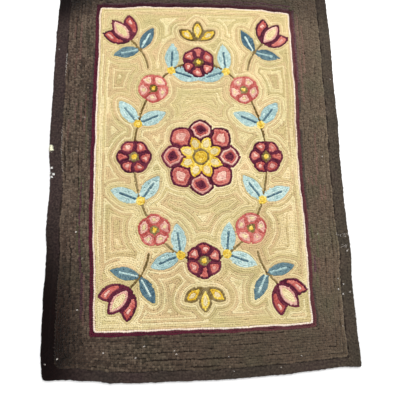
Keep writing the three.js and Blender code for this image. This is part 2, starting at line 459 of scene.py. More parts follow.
def hook_border(hooking):
    draw = np.random.default_rng([SEED, 1])
    hook_lines(hooking, draw)
    grooves = border_grooves(draw)
    for row in range(BORDER_ROWS):
        points, directions, along = resample(border_ring((row + 0.5) / BORDER_ROWS), BORDER_STEP)
        shift = groove_shift(row, along / along[-1], grooves)
        points = wander(points, directions, along, draw, BORDER_WANDER)
        points = points + sideways(directions) * shift[:, None]
        points += draw.normal(0, LOOSE_LOOPS, points.shape)
        _, shades = strip_shades(along, draw, *BORDER_STRIPS)
        shades = 0.5 + (shades - 0.5) * along_side(UNEVEN_SHADES, points[:, 0])
        if row == BORDER_ROWS - 1:
            shades = shades + OUTER_ROW_PALER * (abs(points[:, 0]) > LONG_SIDE_FROM)
        wools = border_wools(row, points)
        for wool in sorted(set(wools)):
            hooking.add(wool, points, directions, shades, wools == wool)


# The field's design: a flower inside an oval wreath, blossoms on its axes and a tulip in each corner

# The form of a leaf or petal: where along it it is fullest, and how blunt its ends are
LEAF_FORM, BLOSSOM_FORM, TULIP_FORM, SPRAY_FORM = (0.48, 0.85), (0.62, 0.7), (0.5, 0.75), (0.55, 0.75)
OUTER_FORM, INNER_FORM = (0.62, 0.75), (0.55, 0.8)
PETAL_STEPS, DISC_STEPS, STEM_STEPS = 25, 36, 20
# Where a leaf's vein starts and ends, as shares of its length
VEIN = (0.1, 0.7)
# A blossom's petals, as shares of its radius: where they start and how long they are, how close they lie side
# by side, and the radius of its eye
PETAL_START, PETAL_LENGTH, PETAL_CLOSE, EYE = 0.16, 0.84, 0.92, 0.27

# The wreath: its radii across and along, and its blossoms as (radius, petals, wools from the rim in) in turn
WREATH_RADII = (150.0, 232.0)
WREATH_STEPS = 181
WREATH_BLOSSOMS = 8
BLOSSOMS = ((40, 6, ("maroon", "coral", "pink")), (36, 5, ("coral", "pink", "butter")))
# Its leaves: length and width, and in degrees how far they lean off the stem and start before a bud
WREATH_LEAF, LEAF_LEAN, LEAF_START = (70, 33), 52, 3
BUD_RADIUS = 10

# The flower in the middle: (start of its petals, their length and width, form, first angle, wools in turn)
CENTRE_PETALS = (
    (20, (70, 56), OUTER_FORM, 0,
     (("maroon", "pink", "coral", "maroon"), ("maroon", "coral", "coral", "pink"))),
    (12, (38, 24), INNER_FORM, 22.5, (("gold", "butter"),)),
)
CENTRE_COUNT, CENTRE_EYE = 8, 19

# A corner's tulip: the stem's root, bend and neck, where its leaves fork off, and the way it faces
TULIP_STEM = np.array(((118.0, 214.0), (124.0, 256.0), (158.0, 284.0)))
TULIP_FORK = np.array((136.0, 262.0))
TULIP_FACING = 50.0
TULIP_LEAF, TULIP_LEAF_ANGLES, TULIP_VEIN = (64, 27), (118, -14), ((6, 0), (46, 0))
TULIP_PETAL = (68, 36)
# Its petals, by how far they turn off that way: the wools from the rim in
TULIP_WOOLS = {
    36: ("maroon", "coral", "pink"),
    -36: ("maroon", "coral", "pink"),
    0: ("maroon", "pink", "butter"),
}
# A spray of gold buds: its root, each bud's size, and how far they turn off the long axis
SPRAY_ROOT, SPRAY_BUD, SPRAY_TURNS = np.array((0.0, 288.0)), (52, 28), (58, -58, 0)


def petal(base, angle, size, form):
    """The outline of a petal or leaf from its base, in the direction of an angle in degrees."""
    length, width = size
    fullest, blunt = form
    share = np.linspace(0, 1, PETAL_STEPS)
    half = width / 2 * np.sin(math.pi * share ** (math.log(0.5) / math.log(fullest))) ** blunt
    side = np.column_stack((share * length, half))
    outline = np.vstack((side, side[-2:0:-1] * (1, -1)))
    return turned(outline, angle) + base


def disc(centre, radius):
    angle = np.linspace(0, 2 * math.pi, DISC_STEPS, endpoint=False)
    return np.column_stack((np.cos(angle), np.sin(angle))) * radius + centre


def turned(points, degrees):
    angle = math.radians(degrees)
    cos, sin = math.cos(angle), math.sin(angle)
    return np.asarray(points, float) @ np.array(((cos, sin), (-sin, cos)))


def polar(angle, radius):
    """A place at an angle in degrees, on a circle of one radius or an oval of two."""
    return np.array((math.cos(math.radians(angle)), math.sin(math.radians(angle)))) * radius


def heading(way):
    return math.degrees(math.atan2(way[1], way[0]))


class Design:
    """Shapes and lines in the field, later ones over earlier ones.

    Each shape names its wools from the rim in.
    """

    def __init__(self):
        self.items = []

    def shape(self, outline, *wools):
        self.items.append((np.asarray(outline, float), wools, False))

    def line(self, path, wool):
        self.items.append((np.asarray(path, float), (wool,), True))

    def leaf(self, base, angle, size):
        self.shape(petal(base, angle, size, LEAF_FORM), "pale_blue")
        vein = np.array([(size[0] * share, 0) for share in VEIN])
        self.line(turned(vein, angle) + base, "steel_blue")

    def petals(self, centre, count, start, size, form, first, wools):
        """Petals round a centre, that start a little off it. They take the wools in turn."""
        for number in range(count):
            angle = first + number * 360 / count
            outline = petal(centre + polar(angle, start), angle, size, form)
            self.shape(outline, *wools[number % len(wools)])

    def blossom(self, centre, first, radius, count, wools):
        size = (radius * PETAL_LENGTH, 2 * radius * math.sin(math.pi / count) * PETAL_CLOSE)
        self.petals(centre, count, radius * PETAL_START, size, BLOSSOM_FORM, first, (wools,))
        self.shape(disc(centre, radius * EYE), "olive", "gold")


def wreath(design):
    """An oval stem with a pair of leaves and a bud between each two of its blossoms."""
    design.line([polar(angle, WREATH_RADII) for angle in np.linspace(0, 360, WREATH_STEPS)], "olive")
    spacing = 360 / WREATH_BLOSSOMS
    for number in range(WREATH_BLOSSOMS):
        angle = (number + 0.5) * spacing
        upward = 1 if math.cos(math.radians(angle)) > 0 else -1
        place = polar(angle - upward * LEAF_START, WREATH_RADII)
        ahead = heading(polar(angle + upward, WREATH_RADII) - place)
        for lean in (LEAF_LEAN, -LEAF_LEAN):
            design.leaf(place, ahead + lean, WREATH_LEAF)
        design.shape(disc(place, BUD_RADIUS), "gold")
    for number in range(WREATH_BLOSSOMS):
        place = polar(number * spacing, WREATH_RADII)
        design.blossom(place, heading(place), *BLOSSOMS[number % len(BLOSSOMS)])


def corner_tulip(design, across, along):
    """One tulip with two leaves, between the wreath and a corner."""
    def flip(points):
        return np.asarray(points, float) * (across, along)

    design.line(flip(curve(*TULIP_STEM, np.linspace(0, 1, STEM_STEPS))), "olive")
    for angle in TULIP_LEAF_ANGLES:
        design.shape(flip(petal(TULIP_FORK, angle, TULIP_LEAF, LEAF_FORM)), "steel_blue")
        design.line(flip(turned(TULIP_VEIN, angle) + TULIP_FORK), "pale_blue")
    for turn, wools in TULIP_WOOLS.items():
        design.shape(flip(petal(TULIP_STEM[-1], TULIP_FACING + turn, TULIP_PETAL, TULIP_FORM)), *wools)


def gold_spray(design, along):
    """Three gold buds on the long axis, beyond the wreath."""
    for turn in SPRAY_TURNS:
        outline = petal(SPRAY_ROOT, 90 + turn, SPRAY_BUD, SPRAY_FORM)
        design.shape(outline * (1, along), "olive", "gold", "butter")


def field_design():
    design = Design()
    wreath(design)
    for across in (1, -1):
        for along in (1, -1):
            corner_tulip(design, across, along)
    for along in (1, -1):
        gold_spray(design, along)
    for start, size, form, first, wools in CENTRE_PETALS:
        design.petals(np.zeros(2), CENTRE_COUNT, start, size, form, first, wools)
    design.shape(disc((0, 0), CENTRE_EYE), "olive", "gold", "gold")
    return design


# Rows in the field: they run side by side round every shape and along the field's edge

# The field is divided into cells, and its edge is followed more coarsely there
CELL = 1.5
CELL_X, CELL_Y = (
    np.arange(-size / 2 - FIELD_ROOM, size / 2 + FIELD_ROOM, CELL) for size in (FIELD_WIDTH, FIELD_LENGTH)
)
COARSE = {"end_steps": 60, "side_steps": 90}
OUTSIDE, GROUND = -1, 0
# How a line runs through a cell, by which of its corners lie high: pairs of the cell's sides,
# 0 low, 1 right, 2 high and 3 left
CELL_LINES = {
    1: ((3, 0),), 2: ((0, 1),), 3: ((3, 1),), 4: ((1, 2),), 5: ((3, 2), (0, 1)), 6: ((0, 2),), 7: ((3, 2),),
    8: ((2, 3),), 9: ((2, 0),), 10: ((3, 0), (1, 2)), 11: ((2, 1),), 12: ((1, 3),), 13: ((1, 0),),
    14: ((0, 3),),
}
# A shorter row of the ground is left out, loops closer than this to others are left out, and a place farther
# than this from any loop gets one, like one of the nearest
SHORTEST_ROW = 2.0 * LOOP_STEP
CROWDED = 0.62 * ROW_PITCH
BARE = 0.62 * ROW_PITCH
NEAREST = 6
# Every third row of the ground is mostly butter-coloured, and the others are mostly darker
LIGHT_ROW = 3
BUTTER_IN_LIGHT, BUTTER_ELSEWHERE = 0.94, 0.2


def cell_places(row, column):
    return np.column_stack((CELL_X[column], CELL_Y[row]))


def covered(cells, outline, is_line=False):
    """Which cells of a grid lie inside an outline, or within half a row of a line."""
    points = cells.reshape(-1, 2)
    if is_line:
        result = np.zeros(len(points), bool)
        for place in resample(outline, CELL, closed=False)[0]:
            result |= ((points - place) ** 2).sum(1) < (ROW_PITCH / 2) ** 2
    else:
        result = inside(points, outline)
    return result.reshape(cells.shape[:2])


def paint(design):
    """A grid of numbers over the field: which of the design's items shows in each cell."""
    cells = np.stack(np.meshgrid(CELL_X, CELL_Y), axis=-1)
    ground = field_ring(-CREAM_WIDTH, **COARSE) - FIELD_CENTRE
    labels = np.where(covered(cells, ground), GROUND, OUTSIDE)
    for number, (outline, _, is_line) in enumerate(design.items, GROUND + 1):
        low, high = outline.min(0) - ROW_PITCH, outline.max(0) + ROW_PITCH
        columns = slice(*np.searchsorted(CELL_X, (low[0], high[0])))
        rows = slice(*np.searchsorted(CELL_Y, (low[1], high[1])))
        labels[rows, columns][covered(cells[rows, columns], outline, is_line)] = number
    return labels


def edge_distances(labels):
    """How far each cell of the field lies from the nearest change of label."""
    upright = cell_places(*np.nonzero(labels[:, 1:] != labels[:, :-1])) + (CELL / 2, 0)
    level = cell_places(*np.nonzero(labels[1:] != labels[:-1])) + (0, CELL / 2)
    tree = tree_of(np.vstack((upright, level)))
    within = np.nonzero(labels != OUTSIDE)
    result = np.full(labels.shape, -CELL)
    result[within] = distances(cell_places(*within), tree)
    return result


def level_lines(values, level):
    """The closed lines on which a grid of values meets a level, as places in columns and rows."""
    wide = values.shape[1]
    high = values > level
    case = high[:-1, :-1] + 2 * high[:-1, 1:] + 4 * high[1:, 1:] + 8 * high[1:, :-1]

    def side_number(row, column, side):
        row = row + (side == 2)
        column = column + (side == 1)
        return 2 * (row * wide + column) + side % 2

    links = {}
    for pattern, pairs in CELL_LINES.items():
        row, column = np.nonzero(case == pattern)
        for first, second in pairs:
            ends = zip(side_number(row, column, first).tolist(), side_number(row, column, second).tolist())
            for start, end in ends:
                links.setdefault(start, []).append(end)
                links.setdefault(end, []).append(start)
    return [crossings(values, level, np.array(line)) for line in walks(links)]


def walks(links):
    """Follows the links from side to side, one line after another."""
    waiting = dict.fromkeys(links)
    while waiting:
        line = [next(iter(waiting))]
        onward = line
        while onward:
            waiting.pop(onward[0])
            if onward is not line:
                line.append(onward[0])
            onward = [side for side in links[line[-1]] if side in waiting][:1]
        yield line


def crossings(values, level, sides):
    """Where a level is met on the numbered sides of cells."""
    upright = sides % 2
    row, column = np.divmod(sides // 2, values.shape[1])
    low = values[row, column]
    high = values[row + upright, column + 1 - upright]
    share = (level - low) / (high - low)
    return np.column_stack((column + share * (1 - upright), row + share * upright))


def label_at(labels, points):
    cell = np.round((points - (CELL_X[0], CELL_Y[0])) / CELL).astype(int)
    column, row = np.clip(cell, 0, (len(CELL_X) - 1, len(CELL_Y) - 1)).T
    return labels[row, column]


def field_rows(design, labels):
    """Yields (item number, row number from its rim, closed, line) for every row in the field."""
    for number, (path, _, is_line) in enumerate(design.items, GROUND + 1):
        if is_line:
            yield number, 0, False, path
    depth = edge_distances(labels)
    for row in range(int(depth.max() / ROW_PITCH) + 1):
        for line in level_lines(depth, (row + 0.5) * ROW_PITCH):
            places = line * CELL + (CELL_X[0], CELL_Y[0])
            yield label_at(labels, places[:1])[0], row, True, places


class Spacing:
    """Keeps the places taken so far, in squares, to find those that crowd them."""

    def __init__(self, room):
        self.room = room
        self.squares = {}

    def square(self, point):
        return int(point[0] // self.room), int(point[1] // self.room)

    def crowded(self, point):
        column, row = self.square(point)
        near = (self.squares.get((column + i, row + j), ()) for i in (-1, 0, 1) for j in (-1, 0, 1))
        return any(math.dist(point, other) < self.room for group in near for other in group)

    def take(self, points):
        for point in points:
            self.squares.setdefault(self.square(point), []).append(point)


def wool_of(design, number, row, draw):
    if number == GROUND:
        share = BUTTER_IN_LIGHT if row % LIGHT_ROW == 1 else BUTTER_ELSEWHERE
        return "butter" if draw.random() < share else draw.choice(("tan", "sand"))
    wools = design.items[number - 1][1]
    return wools[min(row, len(wools) - 1)]


def hook_field(hooking):
    draw = np.random.default_rng([SEED, 2])
    design = field_design()
    labels = paint(design)
    spacing = Spacing(CROWDED)
    for number, row, closed, line in field_rows(design, labels):
        points, directions, along = resample(line, LOOP_STEP, closed)
        if along[-1] < SHORTEST_ROW and number == GROUND:
            continue
        free = label_at(labels, points) == number
        free &= np.array([not spacing.crowded(point) for point in points.tolist()])
        spacing.take(points[free].tolist())
        points = wander(points, directions, along, draw, FIELD_WANDER) + FIELD_CENTRE
        strip, shades = strip_shades(along, draw, *(GROUND_STRIPS if number == GROUND else MOTIF_STRIPS))
        for which in np.unique(strip):
            chosen = free & (strip == which)
            if chosen.any():
                hooking.add(wool_of(design, number, row, draw), points, directions, shades, chosen)
    fill_bare_places(hooking, labels)


def fill_bare_places(hooking, labels):
    """Single loops where rows that meet have left the foundation bare, each like the loop beside it."""
    wools = [wool for wool in WOOLS if wool not in BORDER_WOOLS]
    names = [wool for wool in wools for _ in hooking.loops(wool)]
    loops = np.vstack([hooking.loops(wool) for wool in wools])
    tree = tree_of(loops[:, :2])
    row, column = np.nonzero(labels != OUTSIDE)
    places = cell_places(row, column) + FIELD_CENTRE
    numbers = label_at(labels, loops[:, :2] - FIELD_CENTRE)
    room = distances(places, tree)
    fillers = Spacing(BARE)
    for cell in np.argsort(-room)[:np.count_nonzero(room > BARE)]:
        point = places[cell]
        if not fillers.crowded(point.tolist()):
            fillers.take([point.tolist()])
            near = [index for _, index, _ in tree.find_n((*point, 0.0), NEAREST)]
            alike = [index for index in near if numbers[index] == labels[row[cell], column[cell]]]
            beside = (alike or near)[0]
            hooking.add(names[beside], point[None], loops[beside, None, 2:4], loops[beside, None, 4])


# Geometry nodes: small shapes set on points, for loops, stitches and loose fibres

FLOAT, COLOUR, GEOMETRY = "NodeSocketFloat", "NodeSocketColor", "NodeSocketGeometry"
WHITE, GREY = (1, 1, 1, 1), (0.5, 0.5, 0.5, 1)
# Inputs for turning and spreading the copies of a shape
SCATTER_INPUTS = [
    ("Turn", FLOAT, 0.2),
    ("Lean", FLOAT, 0.15),
    ("Spread", FLOAT, 0.1),
    ("Seed", "NodeSocketInt", 1),
    ("Material", "NodeSocketMaterial", None),
]
# Inputs that are given in millimetres
LENGTHS = ("Length", "Width", "Height", "Thickness")
HUMP_SIDES, HUMP_RINGS = 6, 4
FIBRE_POINTS, FIBRE_SIDES = 7, 4


class NodeTree:
    """Short calls to place and join the nodes of a tree."""

    def __init__(self, tree):
        self.tree = tree

    def join(self, node, inputs):
        """Links sockets to a node's inputs, and sets the inputs that are given plain values."""
        for key, value in inputs.items():
            if isinstance(value, bpy.types.NodeSocket):
                self.tree.links.new(value, node.inputs[key])
            else:
                node.inputs[key].default_value = value

    def node(self, kind, inputs=None, **settings):
        """A new node. Its settings come first, because its sockets can depend on them."""
        node = self.tree.nodes.new(kind)
        for name, value in settings.items():
            setattr(node, name, value)
        self.join(node, inputs or {})
        return node

    def out(self, kind, inputs=None, **settings):
        """The first output of a new node."""
        return self.node(kind, inputs, **settings).outputs[0]

    def given(self):
        return self.node("NodeGroupInput").outputs

    def group(self, tree, inputs=None):
        return self.node("ShaderNodeGroup", inputs, node_tree=tree).outputs

    def math(self, operation, *values):
        return self.out("ShaderNodeMath", dict(enumerate(values)), operation=operation)

    def vector_math(self, operation, *values):
        node = self.node("ShaderNodeVectorMath", dict(enumerate(values)), operation=operation)
        return node.outputs["Value" if operation == "DISTANCE" else "Vector"]

    def scaled(self, colour, factor):
        return self.out("ShaderNodeVectorMath", {0: colour, "Scale": factor}, operation="SCALE")

    def vector(self, x, y=0.0, z=0.0):
        return self.out("ShaderNodeCombineXYZ", {0: x, 1: y, 2: z})

    def axes(self, place):
        return self.node("ShaderNodeSeparateXYZ", {0: place}).outputs

    def place(self):
        """Where a point of the object lies."""
        return self.node("ShaderNodeTexCoord").outputs["Object"]

    def attribute(self, name):
        return self.node("ShaderNodeAttribute", attribute_name=name).outputs

    def random_vector(self, least, most, seed):
        inputs = {0: least, 1: most, "Seed": seed}
        return self.out("FunctionNodeRandomValue", inputs, data_type="FLOAT_VECTOR")

    def mix(self, factor, first, second):
        """A colour between two. The node's colour sockets come after those for numbers and vectors."""
        return self.node("ShaderNodeMix", {0: factor, 6: first, 7: second}, data_type="RGBA").outputs[2]

    def share(self, value, start, end, kind="SMOOTHSTEP"):
        """From 0 where a value is at start to 1 where it is at end."""
        inputs = {"Value": value, "From Min": start, "From Max": end}
        return self.out("ShaderNodeMapRange", inputs, interpolation_type=kind)

    def noise(self, place, scale, detail):
        inputs = {"Vector": place, "Scale": scale, "Detail": detail}
        return self.node("ShaderNodeTexNoise", inputs).outputs["Fac"]


def add_sockets(tree, inputs, outputs):
    """Inputs as (name, kind, first value or None), and outputs as (name, kind)."""
    for label, kind, value in inputs:
        socket = tree.interface.new_socket(label, in_out="INPUT", socket_type=kind)
        if value is not None:
            socket.default_value = value
    for label, kind in outputs:
        tree.interface.new_socket(label, in_out="OUTPUT", socket_type=kind)


def geometry_tree(name, **sizes):
    """A tree with inputs for the sizes of a shape, and for turning and spreading its copies."""
    tree = bpy.data.node_groups.new(name, "GeometryNodeTree")
    inputs = [("Geometry", GEOMETRY, None)] + [(label, FLOAT, size) for label, size in sizes.items()]
    add_sockets(tree, inputs + SCATTER_INPUTS, [("Geometry", GEOMETRY)])
    return tree, NodeTree(tree)


def scatter(make, given, shape):
    """Ends a tree: sets a shape on each point, turned along its row and then a little off it."""
    along = make.out("GeometryNodeInputNamedAttribute", {"Name": "along"}, data_type="FLOAT_VECTOR")
    facing = make.out("FunctionNodeAlignRotationToVector", {"Vector": along}, axis="X")
    most = make.vector(given["Lean"], given["Lean"], given["Turn"])
    least = make.vector_math("MULTIPLY", most, (-1.0, -1.0, -1.0))
    off = make.out("FunctionNodeEulerToRotation", {0: make.random_vector(least, most, given["Seed"])})
    turn = make.out("FunctionNodeRotateRotation", {0: facing, 1: off}, rotation_space="LOCAL")
    small = make.math("SUBTRACT", 1.0, given["Spread"])
    large = make.math("ADD", 1.0, given["Spread"])
    copies = make.out("GeometryNodeInstanceOnPoints", {
        "Points": given["Geometry"],
        "Instance": make.out("GeometryNodeSetShadeSmooth", {"Geometry": shape}),
        "Rotation": turn,
        "Scale": make.random_vector(small, large, make.math("ADD", given["Seed"], 1.0)),
    })
    real = make.out("GeometryNodeRealizeInstances", {"Geometry": copies})
    dyed = make.out("GeometryNodeSetMaterial", {"Geometry": real, "Material": given["Material"]})
    make.node("NodeGroupOutput", {0: dyed})


def hump_tree():
    """Half a sphere on each point, made blunter at its shoulder: a loop of wool or a stitch."""
    tree, make = geometry_tree("humps_on_points", Length=0.005, Width=0.006, Height=0.005, Blunt=1.0)
    given = make.given()
    ball = {"Segments": HUMP_SIDES, "Rings": HUMP_RINGS, "Radius": 1.0}
    sphere = make.out("GeometryNodeMeshUVSphere", ball)
    place = make.out("GeometryNodeInputPosition")
    axes = make.axes(place)
    height = axes["Z"]
    below = make.out("FunctionNodeCompare", {0: height, 1: 0.0}, data_type="FLOAT", operation="LESS_THAN")
    dome = make.out("GeometryNodeDeleteGeometry", {"Geometry": sphere, "Selection": below}, domain="FACE")
    shoulder = make.math("MULTIPLY", height, make.math("SUBTRACT", 1.0, height))
    bulge = make.math("MULTIPLY_ADD", shoulder, given["Blunt"], 1.0)
    half_length = make.math("MULTIPLY", make.math("MULTIPLY", given["Length"], 0.5), bulge)
    half_width = make.math("MULTIPLY", make.math("MULTIPLY", given["Width"], 0.5), bulge)
    size = make.vector(half_length, half_width, given["Height"])
    mark = {"Geometry": dome, "Name": "across", "Value": axes["Y"]}
    marked = make.out("GeometryNodeStoreNamedAttribute", mark, data_type="FLOAT", domain="POINT")
    scatter(make, given, make.out("GeometryNodeSetPosition", {
        "Geometry": marked,
        "Position": make.vector_math("MULTIPLY", place, size),
    }))
    return tree


def fibre_tree():
    """A short curved fibre on each point."""
    tree, make = geometry_tree("fibres_on_points", Length=0.005, Thickness=0.0004, Curl=1.5)
    given = make.given()
    radius = make.math("DIVIDE", given["Length"], given["Curl"])
    arc = make.out("GeometryNodeCurveArc", {
        "Resolution": FIBRE_POINTS,
        "Radius": radius,
        "Start Angle": make.math("MULTIPLY", given["Curl"], -0.5),
        "Sweep Angle": given["Curl"],
    }, mode="RADIUS")
    back = make.vector(make.math("MULTIPLY", radius, -1.0))
    half = make.math("MULTIPLY", given["Thickness"], 0.5)
    round_line = {"Resolution": FIBRE_SIDES, "Radius": half}
    scatter(make, given, make.out("GeometryNodeCurveToMesh", {
        "Curve": make.out("GeometryNodeTransform", {"Geometry": arc, "Translation": back}),
        "Profile Curve": make.out("GeometryNodeCurvePrimitiveCircle", round_line, mode="RADIUS"),
        "Fill Caps": True,
    }))
    return tree


def new_object(name, data):
    piece = bpy.data.objects.new(name, data)
    bpy.context.scene.collection.objects.link(piece)
    return piece


def set_on_points(name, tree, points, height, directions, shades, material, **sizes):
    """A piece with the tree's shape on each point at a height. Points and lengths are in millimetres."""
    mesh = bpy.data.meshes.new(name + "_points")
    places = np.column_stack((points, np.broadcast_to(height, len(points)))) * MM
    mesh.from_pydata(places.tolist(), [], [])
    along = mesh.attributes.new("along", "FLOAT_VECTOR", "POINT")
    along.data.foreach_set("vector", np.column_stack((directions, np.zeros(len(points)))).ravel())
    shade = mesh.attributes.new("shade", "FLOAT", "POINT")
    shade.data.foreach_set("value", np.asarray(shades, float))
    source = new_object(name + "_points", mesh)
    modifier = source.modifiers.new("shapes", "NODES")
    modifier.node_group = tree
    values = {label: size * MM if label in LENGTHS else size for label, size in sizes.items()}
    values["Material"] = material
    for item in tree.interface.items_tree:
        if item.in_out == "INPUT" and item.name in values:
            modifier[item.identifier] = values[item.name]
    evaluated = source.evaluated_get(bpy.context.evaluated_depsgraph_get())
    piece = new_object(name, bpy.data.meshes.new_from_object(evaluated))
    bpy.data.objects.remove(source)
    piece.data.name = name
    flat_map(piece.data)
    return piece


def flat_map(mesh):
    """A map of the piece as seen from above."""
    places = np.empty(len(mesh.vertices) * 3)
    mesh.vertices.foreach_get("co", places)
    places = places.reshape(-1, 3)[:, :2]
    low, high = places.min(0), places.max(0)
    corners = np.empty(len(mesh.loops), np.int32)
    mesh.loops.foreach_get("vertex_index", corners)
    layer = mesh.uv_layers.get("OFBake") or mesh.uv_layers.new(name="OFBake")
    layer.data.foreach_set("uv", ((places - low) / (high - low))[corners].ravel())


# Materials

# Painted light and shade on a dye, with some shift of hue: what it gives of red, green and blue at the left
# and the right side, how much darker it is along the lower and upper edge, and what is left of it in the dark
# corners at the left
BORDER_PAINTED_LIGHT = {
    "Left": (0.78, 0.765, 0.76, 1),
    "Right": (1.15, 1.20, 1.12, 1),
    "Lower edge": 0.24,
    "Upper edge": 0.44,
    "Corner": (0.09, 0.03, 0.012, 1),
}
MAROON_PAINTED_LIGHT = {"Upper edge": 0.55, "Corner": (0.5, 0.4, 0.3, 1)}
BINDING_PAINTED_LIGHT = {
    "Left": (0.67, 0.59, 0.71, 1),
    "Right": (1.02, 1.02, 0.98, 1),
    "Lower edge": 0.04,
    "Upper edge": 0.45,
    "Corner": (0.10, 0.03, 0.03, 1),
}
# In metres: half the rug's width, and where its lower and upper edges start and are full
HALF_WIDTH = 0.33
LOWER_EDGE = (-0.34, -0.40)
UPPER_EDGE = (0.320, 0.395)
# The corners darkened with painted shade: how a plan of the rug is stretched, the corner's middle in that
# plan, how far from there it starts and is full, and how dark it gets
LOWER_CORNER = ((1.0, 0.45, 0.0), (-0.36, -0.176, 0.0), (0.15, 0.05), 1.0)
UPPER_CORNER = ((1.0, 1.0, 0.0), (-0.34, 0.43, 0.0), (0.13, 0.06), 0.92)
# Noise in wool and in the binding's dye, as (how fine, in how many steps), and the contrast of that dye
FLECKS, PATCHES, FUZZ, BINDING_DYE = (900.0, 3.0), (14.0, 4.0), (3200.0, 2.0), (230.0, 5.0)
DYE_CONTRAST = 2.6
# How sharply the tints part, and how much the fuzz and a binding's fibres stand out beside flecks and threads
TINT_EDGE = 7.0
FUZZ_SHARE = 0.4
BINDING_FIBRE = 0.6
# The binding's wool is more flecked and worn than the strips
BINDING_WEAR = {"Flecks": 1.3, "Patches": 0.6}
# Threads of the cut cloth across half a loop, and how far they stand out
STRIP_THREADS = 2.5
THREAD_RELIEF = 0.2
# In metres: the threads of the two cloths, and the depth of each relief
BINDING_THREAD, LINEN_THREAD = 0.0009, 0.0018
LOOP_DEPTH, BINDING_DEPTH, LINEN_DEPTH = 0.0009, 0.0003, 0.0004
# Matt cloth, with a little sheen
MATT = {"Roughness": 0.95, "Specular IOR Level": 0.08, "Sheen Roughness": 0.5}
SHEEN, BINDING_SHEEN = 0.1, 0.03


def screen(colour):
    """A colour on a screen, 0 to 255, as light."""
    share = np.asarray(colour, float) / 255
    light = np.where(share <= 0.04045, share / 12.92, ((share + 0.055) / 1.055) ** 2.4)
    return (*light.tolist(), 1.0)


def shader_group(name, inputs, outputs):
    tree = bpy.data.node_groups.new(name, "ShaderNodeTree")
    add_sockets(tree, inputs, outputs)
    return tree, NodeTree(tree)


def painted_light_group():
    """Painted light and shade on a dye: paler to the right, darker along the lower and upper edges and in two
    corners.
    """
    tree, make = shader_group("painted_light", [
        ("Left", COLOUR, WHITE),
        ("Right", COLOUR, WHITE),
        ("Lower edge", FLOAT, 0.0),
        ("Upper edge", FLOAT, 0.0),
        ("Corner", COLOUR, WHITE),
    ], [("Light", COLOUR)])
    given = make.given()
    place = make.place()
    axes = make.axes(place)
    light = make.mix(make.share(axes["X"], -HALF_WIDTH, HALF_WIDTH, "LINEAR"), given["Left"], given["Right"])
    for stretch, middle, reach, darkest in (LOWER_CORNER, UPPER_CORNER):
        away = make.vector_math("DISTANCE", make.vector_math("MULTIPLY", place, stretch), middle)
        share = make.math("MULTIPLY", make.share(away, *reach), darkest)
        light = make.vector_math("MULTIPLY", light, make.mix(share, WHITE, given["Corner"]))
    for edge, span in (("Lower edge", LOWER_EDGE), ("Upper edge", UPPER_EDGE)):
        lost = make.math("MULTIPLY", make.share(axes["Y"], *span), given[edge])
        light = make.scaled(light, make.math("SUBTRACT", 1.0, lost))
    make.node("NodeGroupOutput", {"Light": light})
    return tree


def fibre_group():
    """Wool as it is seen close to: heathered flecks, worn and tinted patches and a fuzz of fibres."""
    tree, make = shader_group("wool_fibre", [
        ("Colour", COLOUR, GREY),
        ("Warm", COLOUR, GREY),
        ("Cool", COLOUR, GREY),
        ("Tint", FLOAT, 0.0),
        ("Flecks", FLOAT, 0.5),
        ("Patches", FLOAT, 0.3),
        ("Light", COLOUR, WHITE),
    ], [("Colour", COLOUR), ("Height", FLOAT)])
    given = make.given()
    place = make.place()
    fleck, patch, fuzz = (make.noise(place, *noise) for noise in (FLECKS, PATCHES, FUZZ))
    off_fleck, off_patch = (make.math("SUBTRACT", noise, 0.5) for noise in (fleck, patch))

    # Tints where the patches are strongest either way
    lean = make.math("MULTIPLY", off_patch, make.math("MULTIPLY", given["Tint"], TINT_EDGE))
    warm = make.out("ShaderNodeClamp", {"Value": lean})
    cool = make.out("ShaderNodeClamp", {"Value": make.math("MULTIPLY", lean, -1.0)})
    tinted = make.mix(cool, make.mix(warm, given["Colour"], given["Warm"]), given["Cool"])

    by_fleck = make.math("MULTIPLY", off_fleck, given["Flecks"])
    by_patch = make.math("MULTIPLY", off_patch, given["Patches"])
    bright = make.math("ADD", 1.0, make.math("ADD", by_fleck, by_patch))
    # The colour is multiplied by the painted light and shade it is given
    make.node("NodeGroupOutput", {
        "Colour": make.scaled(make.vector_math("MULTIPLY", tinted, given["Light"]), bright),
        "Height": make.math("MULTIPLY_ADD", fuzz, FUZZ_SHARE, fleck),
    })
    return tree


def weave_group():
    """The height of plain woven cloth: threads over and under each other along X and Y."""
    tree, make = shader_group("plain_weave", [("Thread", FLOAT, 0.0012)], [("Height", FLOAT)])
    given = make.given()
    axes = make.axes(make.place())
    counts = [make.math("DIVIDE", axes[axis], given["Thread"]) for axis in ("X", "Y")]
    waves = [
        make.math("ABSOLUTE", make.math("SINE", make.math("MULTIPLY", count, math.pi)))
        for count in counts
    ]
    cells = [make.math("FLOOR", count) for count in counts]
    over = make.math("FLOORED_MODULO", make.math("ADD", *cells), 2.0)
    under = make.math("SUBTRACT", 1.0, over)
    height = make.math("ADD", make.math("MULTIPLY", waves[0], over), make.math("MULTIPLY", waves[1], under))
    make.node("NodeGroupOutput", {"Height": height})
    return tree


def new_material(name):
    material = bpy.data.materials.new(name)
    material.use_nodes = True
    tree = material.node_tree
    return material, NodeTree(tree), tree.nodes["Principled BSDF"]


def cloth_finish(make, shader, colour, height, depth, sheen=SHEEN):
    """Joins a colour and a relief, in metres, to the shader of a matt cloth."""
    bump = make.out("ShaderNodeBump", {"Height": height, "Strength": 1.0, "Distance": depth})
    make.join(shader, {"Base Color": colour, "Normal": bump, "Sheen Weight": sheen, **MATT})


def tone_ramp(make, factor, tones):
    ramp = make.node("ShaderNodeValToRGB", {"Fac": factor})
    stops = ramp.color_ramp.elements
    while len(stops) < len(tones):
        stops.new(0.5)
    for number, tone in enumerate(tones):
        stops[number].position = number / (len(tones) - 1)
        stops[number].color = screen(tone)
    return ramp.outputs["Color"]


